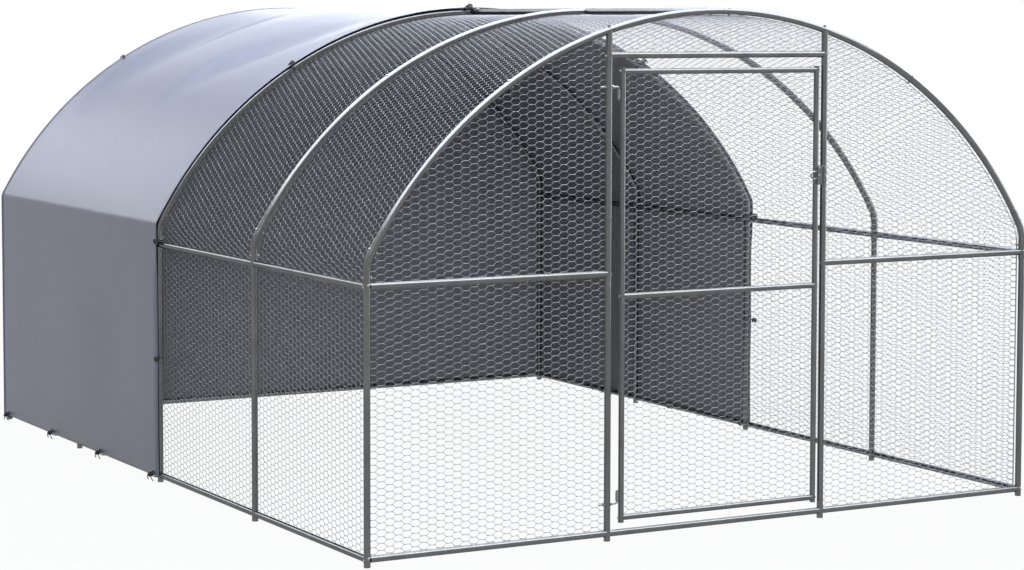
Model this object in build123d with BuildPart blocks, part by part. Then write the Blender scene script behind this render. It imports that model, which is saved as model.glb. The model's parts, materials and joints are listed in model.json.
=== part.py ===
from build123d import *
import os
from math import asin, ceil, cos, degrees, pi, radians, sin, sqrt

os.makedirs("parts", exist_ok=True)

# Overall sizes in millimetres. Origin: middle of the footprint on the ground, door gable at low Y.
run_width = 3000.0
run_length = 4000.0
bay_count = 4
apex_height = 2000.0
corner_height = 1100.0
bend_radius = 120.0

# Tubes and their sleeves
tube_diameter = 25.0
tube_wall = 1.2
sleeve_wall = 1.4
sleeve_fit = 0.1
spigot_fit = 0.1
spigot_length = 80.0
swage_step = 3.0
seam_gap = 0.4
cope_gap = 0.05
seat_gap = 0.02
sleeve_below_rail = 30.0
sleeve_on_arch = 65.0
sleeve_end_gap = 3.0

# Heights and places of the rails and the door frame
ground_height = 29.0
eave_height = 1015.0
header_height = 1834.0
door_post_offset = 493.0
arch_joint_offset = 915.0
apex_bolt_offset = 42.0
apex_seam_offset = 16.0
elbow_bolt_rise = 30.0
elbow_top_bolt_inset = 16.0
ridge_bolt_distance = 62.0
ridge_spigot_length = 100.0

# Fasteners
bolt_diameter = 6.0
bolt_hole_play = 0.6
thread_play = 0.1
head_diameter = 11.0
head_height = 4.0
head_rim = 1.4
nut_width = 10.0
nut_height = 5.0
bolt_tail = 2.0
bolt_stagger = 4.0
weld_nut_reach = 20.0
weld_nut_length = 8.0
rail_wing = 4.0
screw_diameter = 4.0
screw_head_diameter = 8.0
screw_head_height = 2.6
screw_head_rim = 0.9
screw_play = 0.2

# Netting: one cell of the real net, the thickness of the net and how many gaps one net may have
cell_across = 34.5
cell_up = 25.0
cell_slant = 0.3
cell_scale = 4.0
gap_limit = 120
edge_chords = 36
strand_width = 3.0
net_thickness = 1.6
net_edge = 6.0
net_clear = 0.3
smallest_gap = 0.06
roof_facets = 7
roof_facet_end = 57.0
roof_low_inset = 12.0
roof_low_rise = 3.5

# Fabric cover over the rear bays
cover_start_bay = 2
cover_front_overlap = 12.0
cover_thickness = 1.0
cover_ease = 0.2
cover_bottom = 25.0
hem_width = 40.0
hem_thickness = 0.8
cord_diameter = 3.0
cord_ease = 0.3
knot_diameter = 14.0
tail_length = 38.0
tail_spread = 14.0
eyelet_bore = 8.0
eyelet_diameter = 14.0
eyelet_thickness = 1.2
tie_wrap = 300.0
tie_slot = 46.0
tie_low_height = 532.0
tie_high_gap = 5.0
tie_arch_offset = 879.0
tie_crown_offset = 24.0
ground_tie_count = 4
ground_tie_edge = 40.0

# Door, hinges and latch
door_tube_diameter = 22.0
door_tube_wall = 1.0
hinge_gap = 44.0
latch_stile_gap = 37.0
stile_bottom = 66.0
stile_top = 1788.0
door_rail_inset_bottom = 19.0
door_rail_inset_top = 15.0
door_middle_height = 927.0
pin_diameter = 8.0
pin_play = 0.1
pin_bend = 8.0
pin_over = 5.0
pin_hole_play = 0.4
barrel_diameter = 13.0
barrel_height = 34.0
barrel_web = 6.0
collar_gap = 0.2
collar_height = 2.0
pintle_top_height = 1715.0
pintle_bottom_height = 141.0
pintle_tail = 24.0
hinge_nut_width = 13.0
hinge_nut_height = 6.5
latch_height = 1361.0
latch_pitch = 28.0
prong_diameter = 7.0
prong_play = 0.1
prong_standoff = 18.0
latch_case_width = 23.0
latch_case_height = 74.0
latch_case_depth = 20.0
latch_case_corner = 5.0
latch_travel = 12.0
latch_tip_gap = 2.0
latch_case_shift = 4.0
keeper_width = 13.5
latch_screw_rise = 29.0
keeper_screw_rise = 30.0
keeper_screw_inset = 4.5

# Sizes that follow from the ones above. The cover ends as far back as the latch stands out in front.
half_width = run_width / 2
bay_length = run_length / bay_count
front_y = -run_length / 2
back_y = run_length / 2
arch_spots = [front_y + bay_length * bay for bay in range(bay_count + 1)]
tube_radius = tube_diameter / 2
tube_bore = tube_radius - tube_wall
sleeve_bore = tube_radius + sleeve_fit
sleeve_radius = sleeve_bore + sleeve_wall
spigot_radius = tube_bore - spigot_fit
spigot_bore = spigot_radius - tube_wall
arch_rise = apex_height - corner_height
arch_radius = (half_width**2 + arch_rise**2) / (2 * arch_rise)
arch_centre = apex_height - arch_radius
bend_x = half_width - bend_radius
bend_z = arch_centre + sqrt((arch_radius - bend_radius) ** 2 - bend_x**2)
bend_end = degrees(asin(bend_x / (arch_radius - bend_radius)))
arch_degree = radians(1) * arch_radius
sleeve_end = bend_end - sleeve_on_arch / arch_degree
arch_foot = bend_end - sleeve_end_gap / arch_degree
elbow_top_bolt = bend_end - elbow_top_bolt_inset / arch_degree
arch_joint = degrees(asin(arch_joint_offset / arch_radius))
half_spigot = spigot_length / 2 / arch_degree
seam_angle = seam_gap / arch_degree
swage_angle = swage_step / arch_degree
apex_seam = degrees(asin(apex_seam_offset / arch_radius))
apex_bolt = degrees(asin(apex_bolt_offset / arch_radius))
leg_top = bend_z - sleeve_end_gap
sleeve_foot = eave_height - sleeve_below_rail
elbow_low_bolt = eave_height + elbow_bolt_rise
bolt_radius = bolt_diameter / 2
bolt_hole = bolt_radius + bolt_hole_play / 2
thread_hole = bolt_radius + thread_play / 2
screw_radius = screw_diameter / 2
screw_hole = screw_radius + screw_play / 2
net_plane = sleeve_radius
cover_inside = sleeve_radius + head_height + cover_ease
cover_outside = cover_inside + cover_thickness
hem_outside = cover_outside + hem_thickness
cover_y = arch_spots[cover_start_bay]
cover_front = cover_y - cover_front_overlap
cover_back_face = back_y + cover_inside
latch_front = front_y - prong_standoff - prong_diameter
cover_end = -(latch_front - screw_head_height)
cord_radius = cord_diameter / 2
knot_radius = knot_diameter / 2
door_radius = door_tube_diameter / 2
door_bore = door_radius - door_tube_wall
barrel_radius = barrel_diameter / 2
pin_radius = pin_diameter / 2
hinge_x = -door_post_offset + hinge_gap
hinge_stile_x = hinge_x + barrel_radius + door_radius
latch_stile_x = door_post_offset - latch_stile_gap
keeper_screw_x = door_post_offset - tube_radius + keeper_screw_inset
door_low_height = stile_bottom + door_rail_inset_bottom
door_top_height = stile_top - door_rail_inset_top
door_rail_heights = [door_low_height, door_middle_height, door_top_height]
sides = [("left", -1), ("right", 1)]
up = Vector(0, 0, 1)


def hand_in(piece, name):
    piece.part.label = name
    export_step(piece.part, "parts/" + name + ".step")


# Several separate solids handed in as one group
def hand_in_group(solids, name):
    whole = Compound(solids, label=name)
    export_step(whole, "parts/" + name + ".step")


def arch_place(y, angle, offset=0.0):
    reach = arch_radius + offset
    return Vector(reach * sin(radians(angle)), y, arch_centre + reach * cos(radians(angle)))


def arch_outward(angle):
    return Vector(sin(radians(angle)), 0, cos(radians(angle)))


def arch_along(angle):
    return Vector(cos(radians(angle)), 0, -sin(radians(angle)))


# A bent tube of an arch: a ring swept along the arch from one angle to another
def arch_tube(y, start, end, outer, inner):
    with BuildSketch(Plane(arch_place(y, start), x_dir=(0, 1, 0), z_dir=arch_along(start))) as ring:
        Circle(outer)
        Circle(inner, mode=Mode.SUBTRACT)
    with BuildLine() as path:
        ThreePointArc(arch_place(y, start), arch_place(y, (start + end) / 2), arch_place(y, end))
    sweep(ring.sketch, path=path.wires()[0])


# The room that a stretch of an arch takes up, cut out of whatever is being built
def cut_arch(y, start, end, radius):
    with BuildSketch(Plane(arch_place(y, start), x_dir=(0, 1, 0), z_dir=arch_along(start))) as disc:
        Circle(radius)
    turn_axis = Axis((0, y, arch_centre), (0, 1, 0))
    revolve(disc.sketch, axis=turn_axis, revolution_arc=end - start, mode=Mode.SUBTRACT)


def drill(place, direction, radius, depth, both=True):
    with BuildSketch(Plane(place, z_dir=direction)) as hole:
        Circle(radius)
    extrude(hole.sketch, amount=depth, both=both, mode=Mode.SUBTRACT)


# A straight tube between two uprights, with a welded threaded plug near each end
def make_rail(start, end, outer, inner, plug_drop, start_seat, end_seat):
    along = (end - start).normalized()
    across = up.cross(along)
    length = (end - start).length
    with BuildPart() as tube:
        with BuildSketch(Plane(start + along * rail_wing, x_dir=across, z_dir=along)):
            Circle(outer)
            Circle(inner, mode=Mode.SUBTRACT)
        extrude(amount=length - 2 * rail_wing)
        for reach in (weld_nut_reach, length - weld_nut_reach - weld_nut_length):
            with BuildSketch(Plane(start + along * reach, x_dir=across, z_dir=along)):
                Circle(inner)
                with Locations((0, plug_drop)):
                    Circle(thread_hole, mode=Mode.SUBTRACT)
            extrude(amount=weld_nut_length)
        for place, seat in ((start, start_seat), (end, end_seat)):
            cope_uprights([(place.X, place.Y)], seat, place.Z - 2 * outer, place.Z + 2 * outer)
            if place.X in (-half_width, half_width) and along.Y == 0:
                drill(place, (0, 1, 0), outer + cope_gap, 2 * outer)
    return tube.part.solid()


def cope_uprights(places, radius, low, high):
    with BuildSketch(Plane((0, 0, low))) as uprights:
        with Locations(*places):
            Circle(radius + cope_gap)
    extrude(uprights.sketch, amount=high - low, mode=Mode.SUBTRACT)


# A round-headed bolt: underside of the head at the origin, head along +Z
def make_bolt(shank_radius, shank_length, head_radius, tall, rim):
    dome = tall - rim
    crown = (head_radius**2 + dome**2) / (2 * dome)
    half_turn = asin(head_radius / crown) / 2
    with BuildPart() as bolt:
        with BuildSketch(Plane.XZ):
            with BuildLine():
                Polyline(
                    (0, tall),
                    (0, -shank_length),
                    (shank_radius, -shank_length),
                    (shank_radius, 0),
                    (head_radius, 0),
                    (head_radius, rim),
                )
                middle = (crown * sin(half_turn), tall - crown * (1 - cos(half_turn)))
                ThreePointArc((head_radius, rim), middle, (0, tall))
            make_face()
        revolve(axis=Axis.Z)
    return bolt.part.solid()


# A six-sided nut: seat at the origin, body along +Z
def make_nut(width, height, bore):
    with BuildPart() as nut:
        with BuildSketch():
            RegularPolygon(width / 2, 6, major_radius=False)
            Circle(bore, mode=Mode.SUBTRACT)
        extrude(amount=height)
    return nut.part.solid()


def seats(places):
    return [Location(Plane(place, z_dir=direction)) for place, direction in places]


def group(name, pieces):
    hand_in_group([piece.moved(seat) for piece, places in pieces for seat in seats(places)], name)


# Holes that a leg and its sleeve share
def leg_holes(side, index, reach):
    x = side * half_width
    y = arch_spots[index]
    for height in (ground_height, eave_height):
        drill((x, y, height + bolt_stagger), (0, 1, 0), bolt_hole, reach)
        if 0 < index < bay_count:
            drill((x, y, height + bolt_stagger), (side, 0, 0), screw_hole, reach, both=False)
    drill((x, y, elbow_low_bolt), (1, 0, 0), bolt_hole, reach)
    if index == 0:
        drill((x, y, eave_height - bolt_stagger), (1, 0, 0), bolt_hole, reach)
    if index in (0, bay_count):
        drill((x, y, ground_height - bolt_stagger), (1, 0, 0), bolt_hole, reach)


# Legs
for side_name, side in sides:
    for index, y in enumerate(arch_spots):
        with BuildPart() as leg:
            with BuildSketch(Plane((side * half_width, y, 0))):
                Circle(tube_radius)
                Circle(tube_bore, mode=Mode.SUBTRACT)
            extrude(amount=leg_top)
            leg_holes(side, index, tube_diameter)
        hand_in(leg, "leg_" + side_name + "_" + str(index + 1))


# Eave elbows: thicker sleeves round the bend from leg to arch
def make_elbow(side, index):
    x = side * half_width
    y = arch_spots[index]
    bend_mid = radians((90 + bend_end) / 2)
    arch_mid = (bend_end + sleeve_end) / 2
    bend_mid_x = side * (bend_x + bend_radius * sin(bend_mid))
    bend_mid_z = bend_z + bend_radius * cos(bend_mid)
    bend_last = arch_place(y, side * bend_end)
    with BuildPart() as elbow:
        with BuildLine() as path:
            Line((x, y, sleeve_foot), (x, y, bend_z))
            ThreePointArc((x, y, bend_z), (bend_mid_x, y, bend_mid_z), bend_last)
            ThreePointArc(bend_last, arch_place(y, side * arch_mid), arch_place(y, side * sleeve_end))
        with BuildSketch(Plane((x, y, sleeve_foot))):
            Circle(sleeve_radius)
            Circle(sleeve_bore, mode=Mode.SUBTRACT)
        sweep(path=path.wires()[0])
        leg_holes(side, index, 2 * sleeve_radius)
        top_bolt = side * elbow_top_bolt
        drill(arch_place(y, top_bolt), arch_outward(top_bolt), bolt_hole, 2 * sleeve_radius)
    return elbow.part.solid()


# The elbows between the gables are alike, so one is copied along the run
for side_name, side in sides:
    inner_elbow = make_elbow(side, 1)
    elbows = [make_elbow(side, 0), make_elbow(side, bay_count)]
    elbows += [inner_elbow.moved(Location((0, y - arch_spots[1], 0))) for y in arch_spots[1:-1]]
    hand_in_group(elbows, "eave_elbows_" + side_name)


# A bent tube of sections end to end, each with its own two radii, drilled across at some angles
def bent_tube(sections, bolt_angles, post_angles):
    with BuildPart() as tube:
        for start, end, outer, inner in sections:
            arch_tube(0, start, end, outer, inner)
        for angle in bolt_angles:
            drill(arch_place(0, angle), arch_outward(angle), bolt_hole, tube_diameter)
        for angle in post_angles:
            drill(arch_place(0, angle), up, bolt_hole, tube_diameter)
    return tube.part.solid()


# The stub of a ridge tube, coped a little into the wall of the arch that it is welded to
def ridge_stub(toward):
    with BuildPart() as stub:
        with BuildSketch(Plane((0, 0, apex_height), z_dir=(0, toward, 0))):
            Circle(spigot_radius)
        extrude(amount=ridge_spigot_length)
        cut_arch(0, -apex_bolt, apex_bolt, tube_radius - tube_wall / 2)
        drill((0, toward * ridge_bolt_distance, apex_height), up, bolt_hole, tube_radius)
    return stub.part.solid()


# Arches: two lower and two upper tubes each, joined by spigots
post_angle = degrees(asin(door_post_offset / arch_radius))
seam = arch_joint + half_spigot
swage = seam + swage_angle
spigot_end = arch_joint - half_spigot
upper_start = seam - seam_angle
lower_left = bent_tube(
    [
        (-arch_foot, -swage, tube_radius, tube_bore),
        (-swage, -seam, tube_radius, spigot_bore),
        (-seam, -spigot_end, spigot_radius, spigot_bore),
    ],
    [-elbow_top_bolt, -arch_joint],
    [],
)
lower_right = bent_tube(
    [
        (spigot_end, seam, spigot_radius, spigot_bore),
        (seam, swage, tube_radius, spigot_bore),
        (swage, arch_foot, tube_radius, tube_bore),
    ],
    [elbow_top_bolt, arch_joint],
    [],
)
right_sections = [(apex_seam + seam_angle, upper_start, tube_radius, tube_bore)]
left_sections = [
    (-upper_start, apex_seam - swage_angle, tube_radius, tube_bore),
    (apex_seam - swage_angle, apex_seam, tube_radius, spigot_bore),
    (apex_seam, apex_seam + 2 * half_spigot, spigot_radius, spigot_bore),
]
stubs = {toward: ridge_stub(toward) for toward in (-1, 1)}
plain_right = bent_tube(right_sections, [apex_bolt, arch_joint], [])
plain_left = bent_tube(left_sections, [-arch_joint, apex_bolt], [])
front_right = bent_tube(right_sections, [apex_bolt, arch_joint], [post_angle])
front_left = bent_tube(left_sections, [-arch_joint, apex_bolt], [-post_angle])
upper_lefts = {}
stub_ways = [("front", front_left, (1,)), ("inner", plain_left, (-1, 1)), ("back", plain_left, (-1,))]
for name, tube, ways in stub_ways:
    with BuildPart() as upper_left:
        add(tube)
        for toward in ways:
            add(stubs[toward])
    upper_lefts[name] = upper_left.part.solid()
for index, y in enumerate(arch_spots):
    kind = {0: "front", bay_count: "back"}.get(index, "inner")
    upper_right = front_right if kind == "front" else plain_right
    tubes = [lower_left, upper_lefts[kind], upper_right, lower_right]
    hand_in_group([tube.moved(Location((0, y, 0))) for tube in tubes], "arch_" + str(index + 1))

# Eave rails, ground rails and ridge tubes, one per bay
side_rails = [("eave", eave_height, sleeve_radius), ("ground", ground_height, tube_radius)]
for rail_name, height, seat in side_rails:
    bay_end = Vector(0, bay_length, height)
    bay_rail = make_rail(Vector(0, 0, height), bay_end, tube_radius, tube_bore, bolt_stagger, seat, seat)
    for side_name, side in sides:
        copies = [bay_rail.moved(Location((side * half_width, y, 0))) for y in arch_spots[:-1]]
        hand_in_group(copies, rail_name + "_rails_" + side_name)

with BuildPart() as ridge_tube:
    with BuildSketch(Plane((0, rail_wing, apex_height), z_dir=(0, 1, 0))):
        Circle(tube_radius)
        Circle(tube_bore, mode=Mode.SUBTRACT)
    extrude(amount=bay_length - 2 * rail_wing)
    for bolt_y in (ridge_bolt_distance, bay_length - ridge_bolt_distance):
        drill((0, bolt_y, apex_height), up, bolt_hole, tube_diameter)
    for y in (0, bay_length):
        cut_arch(y, -apex_bolt, apex_bolt, tube_radius + cope_gap)
ridge_solid = ridge_tube.part.solid()
hand_in_group([ridge_solid.moved(Location((0, y, 0))) for y in arch_spots[:-1]], "ridge_tubes")


# The stretch of the front arch above a door post
def cut_arch_over_post(side, radius):
    low = side * post_angle - 2 * half_spigot
    high = side * post_angle + 2 * half_spigot
    cut_arch(front_y, low, high, radius)


# Door posts, coped under the front arch and bolted from above
post_meets = arch_place(front_y, post_angle).Z
post_plug = post_meets - tube_diameter - weld_nut_length - bolt_stagger
for side_name, side in sides:
    x = side * door_post_offset
    with BuildPart() as door_post:
        with BuildSketch(Plane((x, front_y, 0))):
            Circle(tube_radius)
            Circle(tube_bore, mode=Mode.SUBTRACT)
        extrude(amount=post_meets)
        cut_arch_over_post(side, tube_radius + cope_gap)
        with BuildSketch(Plane((x, front_y, post_plug))):
            Circle(tube_bore)
            Circle(thread_hole, mode=Mode.SUBTRACT)
        extrude(amount=weld_nut_length)
        for height in (ground_height, eave_height, header_height):
            drill((x, front_y, height - bolt_stagger), (1, 0, 0), bolt_hole, tube_diameter)
        if side < 0:
            for height in (pintle_top_height, pintle_bottom_height):
                drill((x, front_y, height), (1, 0, 0), pin_radius + pin_hole_play / 2, tube_diameter)
        else:
            for rise in (0, keeper_screw_rise):
                screw_place = (keeper_screw_x, front_y, latch_height + rise)
                drill(screw_place, (0, -1, 0), screw_hole, tube_diameter, both=False)
    hand_in(door_post, "door_post_" + side_name)


# Cross rails of a gable at one height: each span is a start and an end
def cross_rails(name, spans, height, y, leg_seat):
    rails = []
    for start, end in spans:
        seats_here = [leg_seat if abs(x) > door_post_offset else tube_radius for x in (start, end)]
        ends = Vector(start, y, height), Vector(end, y, height)
        rails.append(make_rail(*ends, tube_radius, tube_bore, -bolt_stagger, *seats_here))
    hand_in_group(rails, name)


left_span = (-half_width, -door_post_offset)
door_span = (-door_post_offset, door_post_offset)
right_span = (door_post_offset, half_width)
cross_rails("door_header", [door_span], header_height, front_y, tube_radius)
cross_rails("front_rails", [left_span, right_span], eave_height, front_y, sleeve_radius)
cross_rails("front_sills", [left_span, door_span, right_span], ground_height, front_y, tube_radius)
cross_rails("back_sill", [(-half_width, half_width)], ground_height, back_y, tube_radius)


# Netting. A polygon is kept on the low side of the line a*x + b*y = c.
def keep_below(points, line):
    a, b, c = line
    kept = []
    for index, point in enumerate(points):
        before = points[index - 1]
        here = a * point[0] + b * point[1] - c
        there = a * before[0] + b * before[1] - c
        if (here < 0) != (there < 0):
            share = there / (there - here)
            cut_x = before[0] + (point[0] - before[0]) * share
            cut_y = before[1] + (point[1] - before[1]) * share
            kept.append((cut_x, cut_y))
        if here < 0:
            kept.append(point)
    return kept


def polygon_area(points):
    return abs(sum(p[0] * q[1] - q[0] * p[1] for p, q in zip(points, points[1:] + points[:1]))) / 2


# Six-sided gaps of a net inside straight limits; the twisted sides lie level
def net_gaps(low, high, limits, scale):
    pitch = cell_across * scale
    tall = cell_up * scale
    shrink = 1 - strand_width / tall
    flat = pitch * (1 - cell_slant) / 2 * shrink
    point = pitch * (1 + cell_slant) / 2 * shrink
    half = tall / 2 * shrink
    columns = ceil((high[0] - low[0]) / pitch) + 1
    rows = ceil((high[1] - low[1]) / tall) + 1
    gaps = []
    for column in range(columns):
        for row in range(rows):
            x = low[0] + column * pitch
            y = low[1] + (row + 0.5 * (column % 2)) * tall
            shape = [
                (x - point, y),
                (x - flat, y - half),
                (x + flat, y - half),
                (x + point, y),
                (x + flat, y + half),
                (x - flat, y + half),
            ]
            for line in limits:
                if len(shape) > 2:
                    shape = keep_below(shape, line)
            if len(shape) > 2 and polygon_area(shape) > smallest_gap * pitch * tall:
                gaps.append(Wire.make_polygon(shape, close=True))
    return gaps


def net_scale(area, limit):
    return max(cell_scale, sqrt(area / (cell_across * cell_up * limit)))


def box_limits(low, high):
    return [
        (-1, 0, -low[0] - net_edge),
        (1, 0, high[0] - net_edge),
        (0, -1, -low[1] - net_edge),
        (0, 1, high[1] - net_edge),
    ]


# Straight chords just inside an arch of the given radius, as limits for the gaps under it
def arch_limits(reach):
    inner = (reach - net_edge) * cos(pi / edge_chords / 2)
    limits = []
    for chord in range(edge_chords + 1):
        angle = pi * chord / edge_chords
        limits.append((cos(angle), sin(angle), inner + arch_centre * sin(angle)))
    return limits


def rectangle_net(low, high, limit):
    outline = Wire.make_polygon([low, (high[0], low[1]), high, (low[0], high[1])], close=True)
    scale = net_scale((high[0] - low[0]) * (high[1] - low[1]), limit)
    return Face(outline, net_gaps(low, high, box_limits(low, high), scale))


# A net under an arch, drawn in X and Z, with room left for the ridge tube if it reaches the middle
def arched_net(left, right, bottom, reach):
    top_left = (left, arch_centre + sqrt(reach**2 - left**2))
    top_right = (right, arch_centre + sqrt(reach**2 - right**2))
    limits = box_limits((left, bottom), (right, apex_height + net_edge)) + arch_limits(reach)
    notch = tube_radius + net_clear
    notch_floor = apex_height - notch
    notch_side = arch_centre + sqrt(reach**2 - notch**2)
    with BuildLine() as edge:
        Line(top_left, (left, bottom))
        Line((left, bottom), (right, bottom))
        Line((right, bottom), top_right)
        if left < 0 < right:
            right_x = (right + notch) / 2
            left_x = (left - notch) / 2
            right_mid = (right_x, arch_centre + sqrt(reach**2 - right_x**2))
            left_mid = (left_x, arch_centre + sqrt(reach**2 - left_x**2))
            ThreePointArc(top_right, right_mid, (notch, notch_side))
            Line((notch, notch_side), (notch, notch_floor))
            Line((notch, notch_floor), (-notch, notch_floor))
            Line((-notch, notch_floor), (-notch, notch_side))
            ThreePointArc((-notch, notch_side), left_mid, top_left)
            limits.append((0, 1, notch_floor - net_edge))
        else:
            middle = (left + right) / 2
            ThreePointArc(top_right, (middle, arch_centre + sqrt(reach**2 - middle**2)), top_left)
    area = (right - left) * ((top_left[1] + top_right[1]) / 2 - bottom)
    scale = net_scale(area, gap_limit)
    gaps = net_gaps((left, bottom), (right, apex_height), limits, scale)
    return Face(edge.wires()[0], gaps)


def flat_net(name, plane, face, slots=()):
    with BuildPart() as net:
        with BuildSketch(plane):
            add(face)
        extrude(amount=net_thickness)
        if slots:
            with BuildSketch(plane) as openings:
                with Locations(*slots):
                    Rectangle(tie_slot, tie_slot)
            extrude(openings.sketch, amount=net_thickness, mode=Mode.SUBTRACT)
    hand_in(net, name)


# The nets lie inside the tubes and touch the sleeves, or the door's own tubes. Ties pass through slots.
ground_step = (back_y - cover_y - 2 * ground_tie_edge) / (ground_tie_count - 1)
ground_tie_spots = [cover_y + ground_tie_edge + ground_step * step for step in range(ground_tie_count)]
side_edge = half_width - tube_radius - net_clear
net_front = front_y + net_plane
net_back = back_y - net_plane
wall_reach = run_length / 2 - net_plane - net_thickness - net_clear
wall_face = rectangle_net((-wall_reach, ground_height), (wall_reach, eave_height), gap_limit)
wall_slots = [(y, ground_height) for y in ground_tie_spots] + [(cover_y, tie_low_height)]
for side_name, side in sides:
    wall_x = side * (half_width - net_plane) - (net_thickness if side > 0 else 0)
    wall_plane = Plane((wall_x, 0, 0), x_dir=(0, 1, 0), z_dir=(1, 0, 0))
    flat_net("wall_net_" + side_name, wall_plane, wall_face, wall_slots)
    inner = side * door_post_offset
    outer = side * side_edge
    front_face = arched_net(min(inner, outer), max(inner, outer), ground_height, arch_radius)
    front_plane = Plane((0, net_front + net_thickness, 0), x_dir=(1, 0, 0), z_dir=(0, -1, 0))
    flat_net("front_net_" + side_name, front_plane, front_face)
top_plane = Plane((0, front_y + tube_radius + net_thickness, 0), x_dir=(1, 0, 0), z_dir=(0, -1, 0))
top_face = arched_net(-door_post_offset, door_post_offset, header_height, arch_radius)
flat_net("front_net_top", top_plane, top_face)
back_plane = Plane((0, net_back, 0), x_dir=(1, 0, 0), z_dir=(0, -1, 0))
tie_place = arch_place(back_y, degrees(asin(tie_arch_offset / arch_radius)))
back_slots = [(side * tie_place.X, tie_place.Z) for side in (-1, 1)]
flat_net("back_net", back_plane, arched_net(-side_edge, side_edge, ground_height, arch_radius), back_slots)

# Roof net: flat strips from arch to arch, laid side by side under the arches
roof_reach = arch_radius - tube_radius - net_thickness - cope_gap
roof_step = 2 * roof_facet_end / roof_facets
roof_angles = [-roof_facet_end + roof_step * step for step in range(roof_facets + 1)]
roof_low_x = half_width - net_plane - roof_low_inset
roof_low_z = eave_height + tube_radius + roof_low_rise
roof_line = [Vector(-roof_low_x, 0, roof_low_z)]
roof_line += [arch_place(0, angle, roof_reach - arch_radius) for angle in roof_angles]
roof_line += [Vector(roof_low_x, 0, roof_low_z)]
roof_strip_gaps = gap_limit / (len(roof_line) - 1)
roof_strips = []
for low_edge, high_edge in zip(roof_line, roof_line[1:]):
    chord = high_edge - low_edge
    strip_low = (-wall_reach, net_clear / 2)
    strip_high = (wall_reach, chord.length - net_clear / 2)
    inward = Vector(0, 1, 0).cross(chord)
    with BuildPart() as roof_strip:
        with BuildSketch(Plane(low_edge, x_dir=(0, 1, 0), z_dir=inward)):
            add(rectangle_net(strip_low, strip_high, roof_strip_gaps))
        extrude(amount=-net_thickness)
    roof_strips.append(roof_strip.part.solid())
hand_in_group(roof_strips, "roof_net")


# The line of the cover at a given distance outside the tube axes, from one foot over the arch to the other
def cover_line(offset, y=0.0):
    bend = bend_radius + offset
    bend_mid = radians((90 + bend_end) / 2)
    for side in (-1, 1):
        x = side * (half_width + offset)
        Line((x, cover_bottom), (x, bend_z))
        middle = (side * (bend_x + bend * sin(bend_mid)), bend_z + bend * cos(bend_mid))
        end = arch_place(y, side * bend_end, offset)
        ThreePointArc((x, bend_z), middle, (end.X, end.Z))
    left = arch_place(y, -bend_end, offset)
    right = arch_place(y, bend_end, offset)
    ThreePointArc((left.X, left.Z), (0, apex_height + offset), (right.X, right.Z))


def cover_band(inner, outer, start, length):
    with BuildSketch(Plane((0, start, 0), x_dir=(1, 0, 0), z_dir=(0, -1, 0))) as band:
        with BuildLine():
            cover_line(inner)
            cover_line(outer)
            for side in (-1, 1):
                Line(
                    (side * (half_width + inner), cover_bottom),
                    (side * (half_width + outer), cover_bottom),
                )
        make_face()
    extrude(band.sketch, amount=-length)


# Ties: a place on a tube's axis, the way up, outward, the eyelet's side, loop radius, cover face
post_ring = tube_radius + cord_radius + cord_ease
sleeve_ring = sleeve_radius + cord_radius + cord_ease
forward = Vector(0, -1, 0)
backward = Vector(0, 1, 0)
tie_high = eave_height + tube_radius + tie_high_gap
ties = []
for side in (-1, 1):
    out = Vector(side, 0, 0)
    low_place = Vector(side * half_width, cover_y, tie_low_height)
    high_place = Vector(side * half_width, cover_y, tie_high)
    ties.append((low_place, up, out, backward, post_ring, hem_outside))
    ties.append((high_place, up, out, backward, sleeve_ring, hem_outside))
    tie_angle = side * degrees(asin(tie_arch_offset / arch_radius))
    tie_up = arch_along(tie_angle) * -side
    tie_out = arch_outward(tie_angle)
    ties.append((arch_place(cover_y, tie_angle), tie_up, tie_out, backward, post_ring, hem_outside))
    ties.append((arch_place(back_y, tie_angle), tie_up, tie_out, forward, post_ring, cover_outside))
    for tie_y in ground_tie_spots:
        place = Vector(side * half_width, tie_y, ground_height)
        ties.append((place, up, out, up, post_ring, cover_outside))
crown_angle = -degrees(asin(tie_crown_offset / arch_radius))
crown = arch_place(cover_y, crown_angle)
ties.append((crown, arch_along(crown_angle), arch_outward(crown_angle), backward, post_ring, hem_outside))


def eyelet_holes():
    for place, upward, outward, aside, ring, face in ties:
        hole_depth = 2 * cover_thickness + hem_thickness
        drill(place + aside * ring + outward * face, outward, eyelet_bore / 2, hole_depth)


# Cover: side, roof and side in one sheet, and a sheet over the back gable
with BuildPart() as cover:
    cover_band(cover_inside, cover_outside, cover_front, cover_end - cover_front)
    eyelet_holes()
hand_in(cover, "cover")

with BuildPart() as cover_back:
    with BuildSketch(Plane((0, cover_back_face, 0), x_dir=(1, 0, 0), z_dir=(0, -1, 0))):
        with BuildLine():
            cover_line(cover_inside - cope_gap)
            foot_x = half_width + cover_inside - cope_gap
            Line((-foot_x, cover_bottom), (foot_x, cover_bottom))
        make_face()
    extrude(amount=-cover_thickness)
hand_in(cover_back, "cover_back")

with BuildPart() as cover_hem:
    cover_band(cover_outside, hem_outside, cover_front, hem_width)
    eyelet_holes()
hand_in(cover_hem, "cover_hem")


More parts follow.
